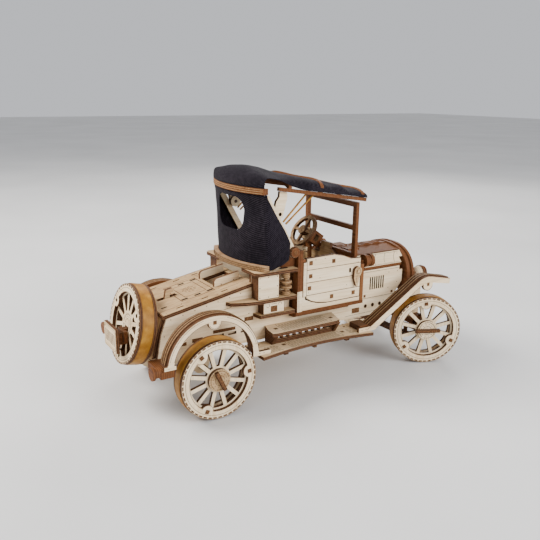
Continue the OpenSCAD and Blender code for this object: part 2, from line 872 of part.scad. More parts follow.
place() rear_axle();
place() rear_rims();
place() rear_spokes();
place() rear_tyres();
place() deck_lever();
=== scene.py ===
import json
import math

import bmesh
import bpy
from mathutils import Matrix, Vector, noise


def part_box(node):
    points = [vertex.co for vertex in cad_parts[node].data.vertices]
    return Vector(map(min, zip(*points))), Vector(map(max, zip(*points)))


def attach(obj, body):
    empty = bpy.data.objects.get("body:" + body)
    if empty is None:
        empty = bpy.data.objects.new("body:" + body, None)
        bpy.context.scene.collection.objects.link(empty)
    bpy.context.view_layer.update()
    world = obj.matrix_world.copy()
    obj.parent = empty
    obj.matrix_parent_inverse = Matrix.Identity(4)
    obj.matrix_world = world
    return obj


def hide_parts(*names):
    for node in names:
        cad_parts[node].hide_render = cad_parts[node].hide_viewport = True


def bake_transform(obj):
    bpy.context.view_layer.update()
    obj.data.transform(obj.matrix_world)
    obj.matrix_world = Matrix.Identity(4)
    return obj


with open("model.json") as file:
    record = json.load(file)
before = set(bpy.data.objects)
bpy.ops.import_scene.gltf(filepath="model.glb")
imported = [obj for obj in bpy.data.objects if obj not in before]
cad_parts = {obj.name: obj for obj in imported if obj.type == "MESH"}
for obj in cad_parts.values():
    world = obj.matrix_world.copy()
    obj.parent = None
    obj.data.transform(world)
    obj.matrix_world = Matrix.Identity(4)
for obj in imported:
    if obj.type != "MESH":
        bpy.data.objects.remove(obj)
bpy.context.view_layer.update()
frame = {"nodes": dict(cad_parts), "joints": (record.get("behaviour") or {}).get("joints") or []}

MM = 0.001
JOINTS = {j["name"]: j for j in frame["joints"]}
X_AXIS, Y_AXIS, Z_AXIS = (1, 0, 0), (0, 1, 0), (0, 0, 1)
# The angles of the turned front wheels, the leaning spare wheel and the sloping deck
STEER, SPARE_TILT, DECK_RAKE = math.radians(24.6), math.radians(11.6), math.radians(11)


# ---- shader building blocks --------------------------------------------------------------------

class Shader:
    """A material's node tree, with short ways to add and join nodes."""

    def __init__(self, name, roughness=0.6, gloss=0.12):
        self.material = bpy.data.materials.new(name)
        self.material.use_nodes = True
        self.tree = self.material.node_tree
        self.out = self.tree.nodes["Principled BSDF"]
        self.out.inputs["Roughness"].default_value = roughness
        self.out.inputs["Specular IOR Level"].default_value = gloss
        self.coords = self.tree.nodes.new("ShaderNodeTexCoord")

    def node(self, kind, inputs=(), **settings):
        made = self.tree.nodes.new("ShaderNode" + kind)
        for key, value in settings.items():
            setattr(made, key, value)
        for slot, value in dict(inputs).items():
            self.feed(made.inputs[slot], value)
        return made

    def feed(self, socket, value):
        if isinstance(value, bpy.types.NodeSocket):
            self.tree.links.new(value, socket)
        else:
            socket.default_value = value

    def math(self, operation, a, b=0.0):
        return self.node("Math", {0: a, 1: b}, operation=operation).outputs[0]

    def scaled(self, scale):
        made = self.node("VectorMath", {0: self.coords.outputs["Object"], 1: scale}, operation="MULTIPLY")
        return made.outputs[0]

    def dot(self, vector, axis):
        return self.node("VectorMath", {0: vector, 1: axis}, operation="DOT_PRODUCT").outputs["Value"]

    def noise(self, vector, scale=1.0, detail=3.0, distortion=0.0):
        made = self.node("TexNoise", {"Vector": vector, "Scale": scale, "Detail": detail,
                                      "Distortion": distortion})
        return made.outputs["Fac"]

    def ramp(self, factor, stops):
        made = self.node("ValToRGB", {"Fac": factor})
        elements = made.color_ramp.elements
        for _ in range(len(stops) - 2):
            elements.new(0.5)
        for element, (place, colour) in zip(elements, stops):
            element.position = place
            element.color = (*colour, 1.0)
        return made.outputs["Color"]

    def mix(self, factor, a, b):
        made = self.node("Mix", data_type="RGBA")
        self.feed(made.inputs["Factor"], factor)
        self.feed(made.inputs["A"], a if not isinstance(a, tuple) else (*a, 1.0))
        self.feed(made.inputs["B"], b if not isinstance(b, tuple) else (*b, 1.0))
        return made.outputs["Result"]

    def between(self, value, low, high):
        made = self.node("MapRange", {"Value": value, "From Min": low, "From Max": high},
                         interpolation_type="SMOOTHSTEP")
        return made.outputs[0]

    def bump(self, height, distance, strength=1.0):
        made = self.node("Bump", {"Height": height, "Distance": distance, "Strength": strength})
        self.tree.links.new(made.outputs["Normal"], self.out.inputs["Normal"])

    def colour(self, value):
        self.feed(self.out.inputs["Base Color"], value)


# ---- plywood --------------------------------------------------------------------------------

CREAM = ((0.63, 0.455, 0.255), (0.80, 0.62, 0.395), (0.88, 0.725, 0.505))
TAN = ((0.33, 0.205, 0.10), (0.46, 0.305, 0.155), (0.56, 0.39, 0.215))
PALE = ((0.48, 0.33, 0.18), (0.61, 0.445, 0.26), (0.71, 0.54, 0.34))
STRIP = ((0.22, 0.12, 0.06), (0.33, 0.19, 0.095), (0.42, 0.26, 0.14))
TOASTED = ((0.28, 0.165, 0.078), (0.40, 0.255, 0.125), (0.50, 0.34, 0.18))
BROWN = ((0.070, 0.023, 0.007), (0.130, 0.045, 0.014), (0.20, 0.078, 0.027))
LAYERS = ((0.07, 0.030, 0.012), (0.27, 0.15, 0.065), (0.48, 0.31, 0.16))
CHAR = ((0.022, 0.009, 0.005), (0.072, 0.029, 0.012), (0.21, 0.098, 0.042))


def ply(name, normal, face=CREAM, edge=CHAR, grain="X", all_but=False, window=None):
    """Laser-cut plywood. Faces square to normal show the sheet's grain, other faces its burnt layers.
    all_but turns that round. window=((x0, x1), (z0, z1)) keeps the light face inside that range."""
    s = Shader(name, roughness=0.58)
    normal = Vector(normal).normalized()
    along = {"X": (45.0, 900.0, 900.0), "Y": (900.0, 45.0, 900.0), "Z": (900.0, 900.0, 45.0)}[grain]
    fibres = s.noise(s.scaled(along), detail=4.0, distortion=0.4)
    broad = s.noise(s.scaled(tuple(c * 0.12 for c in along)), detail=2.0, distortion=1.2)
    speckle = s.noise(s.coords.outputs["Object"], scale=2600.0, detail=1.0)
    tone = s.math("ADD", s.math("MULTIPLY", fibres, 0.45), s.math("MULTIPLY", broad, 0.45))
    tone = s.math("ADD", tone, s.math("MULTIPLY", speckle, 0.10))
    sheet = s.ramp(tone, ((0.34, face[0]), (0.48, face[1]), (0.62, face[2])))
    depth = s.math("MULTIPLY", s.dot(s.coords.outputs["Object"], normal), 1000.0)
    layer = s.math("PINGPONG", s.math("ADD", depth, 0.25), 0.75)
    soot_and_painted_shade = s.noise(s.coords.outputs["Object"], scale=420.0, detail=3.0)
    burnt = s.math("ADD", s.math("MULTIPLY", layer, 0.75), s.math("MULTIPLY", soot_and_painted_shade, 0.42))
    cut = s.ramp(burnt, ((0.22, edge[0]), (0.46, edge[1]), (0.86, edge[2])))
    facing = s.math("ABSOLUTE", s.dot(s.coords.outputs["Normal"], normal))
    is_face = s.between(facing, 0.80, 0.90)
    if all_but:
        is_face = s.math("SUBTRACT", 1.0, s.between(facing, 0.35, 0.55))
    if window:
        place = s.node("SeparateXYZ", {0: s.coords.outputs["Object"]})
        for socket, (low, high) in zip(("X", "Z"), window):
            here = s.math("GREATER_THAN", place.outputs[socket], low)
            is_face = s.math("MULTIPLY", is_face, here)
            is_face = s.math("MULTIPLY", is_face, s.math("LESS_THAN", place.outputs[socket], high))
    s.colour(s.mix(is_face, cut, sheet))
    s.bump(s.math("ADD", s.math("MULTIPLY", fibres, is_face), s.math("MULTIPLY", layer, 0.6)), 0.06 * MM, 0.6)
    return s.material


def rubber(name):
    s = Shader(name, roughness=0.42)
    bloom = s.noise(s.coords.outputs["Object"], scale=160.0, detail=4.0)
    dust = s.noise(s.coords.outputs["Object"], scale=3200.0, detail=2.0)
    s.colour(s.ramp(s.math("ADD", s.math("MULTIPLY", bloom, 0.8), s.math("MULTIPLY", dust, 0.2)),
                    ((0.35, (0.24, 0.100, 0.014)), (0.52, (0.34, 0.150, 0.020)),
                     (0.68, (0.44, 0.220, 0.040)))))
    s.out.inputs["Subsurface Weight"].default_value = 0.06
    s.out.inputs["Subsurface Scale"].default_value = 0.002
    s.bump(dust, 0.03 * MM, 0.5)
    return s.material


def twill(name):
    """Indigo-charcoal twill: fine diagonal ribs, slubs and a soft sheen."""
    s = Shader(name, roughness=0.92, gloss=0.05)
    place = s.node("SeparateXYZ", {0: s.coords.outputs["Object"]})
    run = s.math("ADD", place.outputs["X"], s.math("MULTIPLY", place.outputs["Y"], 0.8))
    rib = s.math("SINE", s.math("MULTIPLY", s.math("ADD", run, place.outputs["Z"]), 4100.0))
    fall = s.math("SUBTRACT", place.outputs["Y"], place.outputs["Z"])
    cross = s.math("SINE", s.math("MULTIPLY", fall, 7600.0))
    weave = s.math("ADD", s.math("MULTIPLY", rib, 0.35), s.math("MULTIPLY", cross, 0.15))
    slub = s.noise(s.scaled((900.0, 260.0, 260.0)), detail=3.0)
    fade = s.noise(s.coords.outputs["Object"], scale=38.0, detail=4.0)
    tone = s.math("ADD", s.math("MULTIPLY", weave, 0.62), s.math("MULTIPLY", slub, 0.50))
    tone = s.math("ADD", tone, s.math("MULTIPLY", fade, 0.45))
    s.colour(s.ramp(tone, ((0.22, (0.003, 0.0022, 0.0038)), (0.50, (0.0095, 0.0075, 0.0110)),
                           (0.82, (0.036, 0.029, 0.037)))))
    s.out.inputs["Sheen Weight"].default_value = 0.03
    s.out.inputs["Sheen Roughness"].default_value = 0.5
    s.bump(s.math("ADD", weave, slub), 0.10 * MM, 0.7)
    return s.material


SCORCH = {
    "scorched": ((0.045, 0.018, 0.009), (0.15, 0.066, 0.028)),
    "toasted": ((0.075, 0.030, 0.012), (0.19, 0.088, 0.034)),
    "seam": ((0.012, 0.006, 0.004), (0.045, 0.02, 0.01)),
    # near-black fill for slots, louvres and holes: painted shade standing in for the dark inside them
    "soot_and_painted_shade": ((0.008, 0.005, 0.004), (0.03, 0.016, 0.010)),
    "layer_light": ((0.22, 0.115, 0.045), (0.42, 0.26, 0.12)),
}


def scorched(name, tones):
    """The browns of an engraved line, a burnt seam or a peg's end grain, and the near-black fill that paints
    shade into slots and holes.
    """
    s = Shader(name, roughness=0.8)
    grain = s.noise(s.coords.outputs["Object"], scale=900.0, detail=4.0)
    s.colour(s.ramp(grain, ((0.35, tones[0]), (0.65, tones[1]))))
    s.bump(grain, 0.04 * MM, 0.5)
    return s.material


STEER_AXIS = JOINTS["front_left_spin"]["axis"]
COLUMN_AXIS = JOINTS["steering_wheel_turn"]["axis"]
SPARE_AXIS = (math.cos(SPARE_TILT), 0, -math.sin(SPARE_TILT))
DECK_AXIS = (-math.sin(DECK_RAKE), 0, math.cos(DECK_RAKE))

# The door sill's light face: the door frame's box less the widths of its brown edges
sill_low, sill_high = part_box("door_frame_left")
sill_window = ((sill_low.x + 6.1 * MM, sill_high.x - 3.6 * MM),
               (sill_low.z + 5.5 * MM, sill_low.z + 24 * MM))

FINISHES = {
    "ply_side": ply("ply_side", Y_AXIS),
    "ply_side_tan": ply("ply_side_tan", Y_AXIS, face=TAN),
    "ply_cross": ply("ply_cross", X_AXIS, grain="Y"),
    "ply_cross_tan": ply("ply_cross_tan", X_AXIS, face=TAN, grain="Y"),
    "ply_flat": ply("ply_flat", Z_AXIS, face=TAN),
    "ply_flat_pale": ply("ply_flat_pale", Z_AXIS, face=PALE),
    "ply_deck": ply("ply_deck", DECK_AXIS, face=TOASTED),
    "ply_tail": ply("ply_tail", (-1, 0, 0.25), face=TOASTED, grain="Y"),
    "ply_wrap": ply("ply_wrap", X_AXIS, all_but=True),
    "ply_steered": ply("ply_steered", STEER_AXIS, grain="Z"),
    "ply_wheel": ply("ply_wheel", Y_AXIS, grain="Z"),
    "ply_column": ply("ply_column", COLUMN_AXIS, face=TAN, edge=BROWN),
    "ply_steering": ply("ply_steering", COLUMN_AXIS, face=LAYERS, edge=CHAR),
    "ply_spare": ply("ply_spare", SPARE_AXIS, grain="Y"),
    "edge_side": ply("edge_side", Y_AXIS, face=BROWN, edge=CHAR),
    "edge_cross": ply("edge_cross", X_AXIS, face=BROWN, edge=BROWN, grain="Y"),
    "edge_flat": ply("edge_flat", Z_AXIS, face=STRIP, edge=LAYERS),
    "lamp": ply("lamp", X_AXIS, edge=BROWN, grain="Y"),
    "door_frame": ply("door_frame", Y_AXIS, edge=BROWN, window=sill_window),
    "rubber": rubber("rubber"),
    "twill": twill("twill"),
    **{tone: scorched(tone, colours) for tone, colours in SCORCH.items()},
    "hub_tan": ply("hub_tan", Y_AXIS, face=TOASTED),
    "lamp_shell": ply("lamp_shell", X_AXIS, edge=CREAM, grain="Y"),
}

NODE_FINISH = {
    "ply_side": ("chassis_rails tail_sides bonnet_sides front_fender_plates rear_fender_plates "
                 "door_left door_right roof_arms quarter_boxes tie_rod"),
    "ply_side_tan": "handle_left handle_right deck_lever",
    "ply_cross": "cross_members number_plate",
    "ply_cross_tan": "dashboard",
    "ply_flat": "floor_plate seat quarter_shelves",
    "ply_flat_pale": "running_board_left running_board_right entry_steps",
    "ply_deck": "tail_deck",
    "ply_tail": "tail_panel",
    "ply_wrap": "bonnet_top",
    "ply_steered": "front_left_rim front_left_spokes front_right_rim front_right_spokes",
    "ply_wheel": "rear_rims rear_spokes",
    "ply_column": "steering_column",
    "ply_steering": "steering_wheel",
    "ply_spare": "spare_rim spare_spokes",
    "edge_side": "front_fender_skins rear_fender_skins spare_bracket knuckle_left knuckle_right rear_axle",
    "edge_cross": "windscreen radiator roof_rails roof_bows cowl_trim front_axle_beam tail_lamps",
    "edge_flat": "curtain_strip side_lanterns",
    "lamp": "headlamps",
    "door_frame": "door_frame_left door_frame_right",
    "rubber": "spare_tyre front_left_tyre front_right_tyre rear_tyres roof_elastics",
    "twill": "roof_canopy rear_curtain",
}


def finish_nodes():
    for finish, names in NODE_FINISH.items():
        for name in names.split():
            part = frame["nodes"][name]
            for holder in part.material_slots:
                holder.material = FINISHES[finish]


finish_nodes()


# ---- geometry building blocks -------------------------------------------------------------------

MID_X = 103.2             # the row frame's origin lies this far ahead of the rear axle, in mm


def at(x, y, z):
    """A point drawn from the rear axle in millimetres, in the row frame."""
    return Vector((x - MID_X, y, z)) * MM


class Plane:
    """A drawing plane: u and v in millimetres, with the third axis out of the surface."""

    def __init__(self, origin, u, v, out):
        self.origin, self.u, self.v, self.out = origin, Vector(u), Vector(v), Vector(out)

    def point(self, u, v, height=0.0):
        return self.origin + (self.u * u + self.v * v + self.out * height) * MM


def side(y):
    """An upright plane facing outwards, this far to the car's left or right."""
    return Plane(at(0, y, 0), X_AXIS, Z_AXIS, (0, math.copysign(1, y), 0))


def level(z, way=1):
    """A level plane facing up, with v running outwards on the left (1) or the right (-1)."""
    return Plane(at(0, 0, z), X_AXIS, (0, way, 0), Z_AXIS)


def shifted(plane, height):
    return Plane(plane.point(0, 0, height), plane.u, plane.v, plane.out)


# Distances of the plates' outer faces from the car's middle plane, in mm
FENDER_FACE, BOX_FACE, DOOR_FACE, SMALL_BOX_FACE = 60.0, 44.0, 43.0, 42.0
TAIL_FACE, BONNET_FACE, RAIL_FACE, CHEEK_FACE = 33.0, 31.0, 30.0, 15.4
SIDES = (("left", 1), ("right", -1))
DECK = Plane(at(-34, 0, 83.7), (math.cos(DECK_RAKE), 0, math.sin(DECK_RAKE)), Y_AXIS, DECK_AXIS)
HEADER_MID = 140          # centre of the roof header's arc, in mm ahead of the rear axle
MARK_LOW, MARK_HIGH = -0.15, 0.05    # a mark starts inside the sheet and ends just above its face, in mm


def finish_mesh(name, bm, material, body, smooth=False):
    bmesh.ops.recalc_face_normals(bm, faces=bm.faces)
    mesh = bpy.data.meshes.new(name)
    bm.to_mesh(mesh)
    bm.free()
    mesh.materials.append(FINISHES[material])
    if smooth:
        for face in mesh.polygons:
            face.use_smooth = True
    made = bpy.data.objects.new(name, mesh)
    bpy.context.scene.collection.objects.link(made)
    if body:
        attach(made, body)
    return made


def prism(bm, plane, outline, low, high, inner=None):
    """A solid over an outline of the plane, between two heights in mm, with an optional equal-count hole."""
    def loop(points, height):
        return [bm.verts.new(plane.point(u, v, height)) for u, v in points]

    bottom, top = loop(outline, low), loop(outline, high)
    count = len(outline)
    for i in range(count):
        j = (i + 1) % count
        bm.faces.new((bottom[i], bottom[j], top[j], top[i]))
    if inner is None:
        bm.faces.new(top)
        bm.faces.new(bottom[::-1])
        return
    hole_bottom, hole_top = loop(inner, low), loop(inner, high)
    for i in range(count):
        j = (i + 1) % count
        bm.faces.new((hole_bottom[j], hole_bottom[i], hole_top[i], hole_top[j]))
        bm.faces.new((top[i], top[j], hole_top[j], hole_top[i]))
        bm.faces.new((bottom[j], bottom[i], hole_bottom[i], hole_bottom[j]))


def stroke(bm, plane, points, width, closed):
    """A line of the given width along points of the plane."""
    pts = [Vector(p) for p in points]
    last = len(pts) - 1
    left, right = [], []
    for i, p in enumerate(pts):
        before = pts[i - 1] if i or closed else None
        after = pts[(i + 1) % len(pts)] if i < last or closed else None
        steps = [(b - a).normalized() for a, b in ((before, p), (p, after))
                 if a is not None and b is not None]
        normals = [Vector((-d.y, d.x)) for d in steps]
        mitre = sum(normals, Vector((0, 0))).normalized()
        reach = 0.5 * width / max(0.35, mitre.dot(normals[0]))
        left.append(p + mitre * reach)
        right.append(p - mitre * reach)
    if closed:
        prism(bm, plane, left, MARK_LOW, MARK_HIGH, inner=right)
    else:
        prism(bm, plane, left + right[::-1], MARK_LOW, MARK_HIGH)


def arc(centre, radius, start, stop, steps=24):
    return [(centre[0] + radius * math.cos(math.radians(start + (stop - start) * i / steps)),
             centre[1] + radius * math.sin(math.radians(start + (stop - start) * i / steps)))
            for i in range(steps + 1)]


def ring(centre, radius, steps=48):
    return arc(centre, radius, 0, 360, steps)[:-1]


def box_outline(u0, v0, u1, v1):
    return [(u0, v0), (u1, v0), (u1, v1), (u0, v1)]


def round_box(u0, v0, u1, v1, r, steps=5):
    corners = ((u1 - r, v1 - r, 0), (u0 + r, v1 - r, 90), (u0 + r, v0 + r, 180), (u1 - r, v0 + r, 270))
    return [p for u, v, turn in corners for p in arc((u, v), r, turn, turn + 90, steps)]


class Engraving:
    """Marks cut into faces, gathered into one piece."""

    def __init__(self, name, body, material="scorched"):
        self.name, self.body, self.material, self.bm = name, body, material, bmesh.new()

    def line(self, plane, points, width, closed=False):
        stroke(self.bm, plane, points, width, closed)

    def fill(self, plane, outline, high=MARK_HIGH, low=MARK_LOW):
        prism(self.bm, plane, outline, low, high)

    def dots(self, plane, points, radius=0.45, steps=10):
        for p in points:
            self.fill(plane, ring(p, radius, steps))

    def done(self):
        return finish_mesh(self.name, self.bm, self.material, self.body)


# ---- wheels ----------------------------------------------------------------------------------

WHEEL_R, AXLE_Z, WHEELBASE, HALF_TRACK = 33.0, 33.4, 233.7, 64.0
KING_Y, KING_TO_FACE = 44.0, 22.0
PEG_TURN = {"front": 96, "rear": 5, "spare": 30}


def polar(radius, angle):
    return radius * math.cos(math.radians(angle)), radius * math.sin(math.radians(angle))


def turned(points, angle):
    """Points of a plane turned about its origin, by radians."""
    c, s = math.cos(angle), math.sin(angle)
    return [(u * c - v * s, u * s + v * c) for u, v in points]


def peg_end(marks, core, plane, u, v, size=3.0, height=0.0, turn=0.0):
    """A peg's end grain: a burnt rim with a lighter middle."""
    for target, half, top in ((marks, size / 2, 0.05), (core, size / 2 - 0.75, 0.09)):
        corners = [polar(half * math.sqrt(2), turn + a) for a in (45, 135, 225, 315)]
        target.fill(plane, [(u + a, v + b) for a, b in corners], high=height + top, low=height - 0.1)


def tread_marks(marks, plane, turn):
    """Dashes cut round the wheel plate's rim, a fine ring inside them, and the plate's burnt edges."""
    dashes, reach, radius, width = 44, 1.75, WHEEL_R - 1.15, 1.15
    for i in range(dashes):
        dash = round_box(-reach, -width / 2, reach, width / 2, 0.5, 3)
        marks.fill(plane, [polar(radius + v, i * 360 / dashes - math.degrees(u / radius)) for u, v in dash])
    marks.line(plane, ring((0, 0), 29.6, 72), 0.3, closed=True)
    marks.line(plane, ring((0, 0), WHEEL_R - 0.2, 96), 0.35, closed=True)
    for lobe in (turn, turn + 120, turn + 240):
        marks.line(plane, arc((0, 0), 26.2, lobe + 12.5, lobe + 107.5, 24), 0.35)
        marks.line(plane, arc(polar(27, lobe), 5.3, lobe + 100, lobe + 260, 16), 0.35)


def wheel_details(name, body, plane, kind):
    marks = Engraving(name + "_marks", body)
    core = Engraving(name + "_peg_ends", body, "toasted")
    turn = PEG_TURN[kind]
    tread_marks(marks, plane, turn)
    for a in (0, 120, 240):
        u, v = polar(27.0, turn + a)
        peg_end(marks, core, plane, u, v, 3.3, 0.6 if kind != "spare" else -3.0, turn + a)
    hub = shifted(plane, -3.0 if kind == "spare" else 0.2)
    if kind == "rear":
        cap = Engraving(name + "_hub_cap", body, "hub_tan")
        cap.fill(hub, ring((0, 0), 9.35, 48), high=0.03)
        cap.done()
    if kind != "spare":
        # The cross bar's layered front: dark, with a lighter streak
        bar, reach = (65, 8.8) if kind == "rear" else (0, 12)
        tilt = -math.radians(bar)
        marks.fill(plane, turned(box_outline(-reach, -1.5, reach, 1.5), tilt), high=3.45, low=3.3)
        core.fill(plane, turned(box_outline(0.5 - reach, -0.45, reach - 0.5, 0.45), tilt), high=3.5, low=3.4)
    for radius, first, width in ((7.9, 8, 0.5), (4.1, 0, 0.4)):
        for start in (first, first + 120, first + 240):
            marks.line(hub, arc((0, 0), radius, start, start + 104, 14), width)
    marks.dots(hub, [polar(6.1, a) for a in range(15, 360, 30)], 0.42, 8)
    for a in range(0, 360, 15):
        marks.line(hub, [polar(8.4, a), polar(9.2, a)], 0.35)
    marks.done()
    core.done()


def all_wheels():
    spin = (math.cos(STEER), -math.sin(STEER), 0)
    lateral = (math.sin(STEER), math.cos(STEER), 0)
    for name, way in SIDES:
        out = tuple(way * c for c in lateral)
        king = at(WHEELBASE, way * KING_Y, AXLE_Z)
        plane = Plane(king + Vector(out) * KING_TO_FACE * MM, spin, Z_AXIS, out)
        wheel_details("front_" + name, "front_%s_wheel" % name, plane, "front")
    for name, way in SIDES:
        plane = Plane(at(0, way * HALF_TRACK, AXLE_Z), X_AXIS, Z_AXIS, (0, way, 0))
        wheel_details("rear_" + name, "rear_wheels", plane, "rear")
    tilt = (math.sin(SPARE_TILT), 0, math.cos(SPARE_TILT))
    back = (-math.cos(SPARE_TILT), 0, math.sin(SPARE_TILT))
    wheel_details("spare", "root", Plane(at(-54.3, 0, 70.6), Y_AXIS, tilt, back), "spare")


# ---- body sides, doors and bonnet ------------------------------------------------------------

def door_details(side_name, way):
    body = "door_" + side_name
    face = side(DOOR_FACE * way)
    marks = Engraving(body + "_kerfs", body)
    core = Engraving(body + "_peg_ends", body, "toasted")
    for z in (105.5, 94.1, 82.7):
        marks.line(face, [(95.9, z), (155.1, z)], 0.55)
    for u, v in ((100, 111.5), (124.5, 110.5), (100, 99.8), (99, 89), (151.5, 88.5), (148, 78), (123.5, 78)):
        peg_end(marks, core, face, u, v, 3.8)
    marks.dots(face, [(105, 114), (115, 114), (152.5, 106), (98, 85), (140, 86.3), (110, 97)], 0.4)
    marks.done()
    core.done()
    latch = Engraving("handle_%s_marks" % side_name, "handle_" + side_name)
    plate = side(46.3 * way)
    latch.line(plate, ring((150.3, 98.4), 2.6, 20), 0.35, closed=True)
    latch.line(plate, [(149.3, 94.5), (148.3, 91), (148.8, 87.8)], 0.35)
    latch.done()


def bonnet_details():
    marks = Engraving("bonnet_marks", "root")
    core = Engraving("bonnet_peg_ends", "root", "toasted")
    for way in (1, -1):
        face = side(BONNET_FACE * way)
        marks.line(face, [(163.6, 90.3), (214, 90.3)], 0.35)
        marks.line(face, [(165.2, 68), (165.2, 88.5)], 0.35)
        marks.dots(face, [(168, 71.5), (168, 87), (201, 87), (201, 71.5), (212, 76), (212, 87)], 0.45)
        for u in (172, 206):
            peg_end(marks, core, face, u, 67, 2.6)
        # The bonnet's sloping panel: a plane through its lower and upper edges
        low, high = Vector((31.5, 95.4)), Vector((22.6, 105.2))
        up = (high - low).normalized()
        slope = Plane(at(0, low.x * way, low.y), X_AXIS, (0, up.x * way, up.y), (0, up.y * way, -up.x))
        for u in (172, 184, 196, 208):
            marks.line(slope, [(u + 5.5 * t * t, 1.4 + 10.4 * t) for t in [i / 8 for i in range(9)]], 0.35)
        marks.line(slope, [(166.0, 0.9), (217.6, 0.9)], 0.35)
        marks.line(slope, [(166.0, 12.1), (217.6, 12.1)], 0.35)
        for u in (168, 215.6):
            marks.dots(slope, [(u, 3.2), (u, 10.0)], 0.4)
        frame_side = side(RAIL_FACE * way)
        for u0, u1, v0, v1 in ((158, 167, 51.6, 56.6), (100, 108, 52, 56)):
            marks.fill(frame_side, box_outline(u0, v0, u1, v1), high=0.06)
            core.fill(frame_side, box_outline(u0 + 0.6, v0 + 0.6, u1 - 0.6, v1 - 0.6), high=0.10)
        marks.dots(frame_side, [(152, 59.5), (197, 59), (212, 59), (219, 55)], 0.45)
        marks.line(frame_side, [(150, 49.8), (204, 50.5)], 0.3)
    marks.done()
    core.done()


all_wheels()
for door_side, door_way in SIDES:
    door_details(door_side, door_way)
bonnet_details()


# ---- fenders, steps and boards ---------------------------------------------------------------

# The front fender's crest: its arc's centre and radius, and the slopes behind and ahead of it in degrees
FF_C, FF_R, FF_SLOPE, FF_NOSE = (225.0, 62.4), 24.0, 31.3, 12.0
RF_C = (-2.0, 46.0)                  # centre of the rear fender's arcs
LAYER_Y, LAYER_PITCH = 47.7, 3.1     # the first of the fender skins' three sheets, and their spacing
BOARD_Z, STEP_Z = 44.6, 58.6         # tops of the running boards and the entry steps


def front_path(drop):
    """The line a given distance below the front fender's crest line, from the board to the nose."""
    crest = arc(FF_C, FF_R - drop, 90 + FF_SLOPE, 90 - FF_NOSE, 14)
    slope, nose = math.radians(FF_SLOPE), math.radians(FF_NOSE)
    back = (crest[0][1] - BOARD_Z - 1.2) / math.sin(slope)
    first = (crest[0][0] - back * math.cos(slope), crest[0][1] - back * math.sin(slope))
    last = (crest[-1][0] + 24.6 * math.cos(nose), crest[-1][1] - 24.6 * math.sin(nose))
    return [first] + crest + [last]


def rear_path(radius, start=3, stop=171):
    """An arc of the rear fender, from front to back between two angles in degrees."""
    return arc(RF_C, radius, stop, start, 40)


def fender_details():
    seams = Engraving("fender_seams", "root", "seam")
    lights = Engraving("fender_layer_faces", "root", "layer_light")
    marks = Engraving("fender_marks", "root")
    core = Engraving("fender_peg_ends", "root", "toasted")
    for way in (1, -1):
        for low, high in ((front_path(-0.85), front_path(-0.6)), (rear_path(41.26), rear_path(41.0))):
            outline = low + high[::-1]
            for i in range(3):
                y = LAYER_Y + i * LAYER_PITCH
                lights.fill(side(way * (y + 1.1)), outline, high=0.7, low=0.0)
                seams.fill(side(way * (y + 2.8)), outline, high=0.45, low=0.0)
        outer = side(FENDER_FACE * way)
        for u, v in ((225.4, 78.6), (-1.7, 80.8)):
            peg_end(marks, core, outer, u, v, 3.1)
        marks.line(outer, rear_path(38.9, 104, 166), 0.3)
        marks.line(outer, rear_path(38.9, 14, 74), 0.3)
        marks.dots(outer, [(39, 46.6), (43, 46.6), (146.5, 46.8), (151, 46.8), (-41, 50.6)], 0.4)
        marks.line(outer, arc((-1.7, 80.6), 4.6, 200, 340, 12), 0.3)
    for piece in (seams, lights, marks, core):
        piece.done()


def hatch(marks, plane, u0, v0, u1, v1):
    """Rows of short diagonal dashes."""
    pitch, reach, rise = 2.9, 0.95, 0.6
    rows = int((v1 - v0) / 2.1)
    for row in range(rows):
        v = v0 + (row + 0.5) * (v1 - v0) / rows
        u = u0 + (0.6 if row % 2 else 1.7)
        while u < u1 - 0.8:
            marks.line(plane, [(u - reach, v - rise), (u + reach, v + rise)], 0.8)
            u += pitch


def step_details():
    marks = Engraving("step_marks", "root", "seam")
    core = Engraving("step_peg_ends", "root", "toasted")
    for way in (1, -1):
        top = level(STEP_Z, way)
        hatch(marks, top, 70, 37, 117, 50)
        marks.line(top, [(68.6, 35.6), (118.4, 35.6), (118.4, 51.6), (68.6, 51.6)], 0.35, closed=True)
        for u, v in ((64, 44.5), (122, 44.5)):
            peg_end(marks, core, top, u, v, 3.4)
        board = level(BOARD_Z, way)
        hatch(marks, board, 74, 46.2, 127, 56.4)
        hatch(marks, board, 50, 46.5, 64, 59.5)
        hatch(marks, board, 137, 46.5, 141.5, 58)
        marks.line(board, [(72.8, 45.4), (128.4, 45.4), (128.4, 57.2), (72.8, 57.2)], 0.35, closed=True)
        for u, v in ((69.6, 48.8), (132.3, 49.2)):
            peg_end(marks, core, board, u, v, 3.4)
        front = side(BOX_FACE * way)
        marks.line(front, [(64, 54.6), (124, 54.6)], 0.3)
    marks.done()
    core.done()


# ---- deck, tail, boxes and plates --------------------------------------------------------------

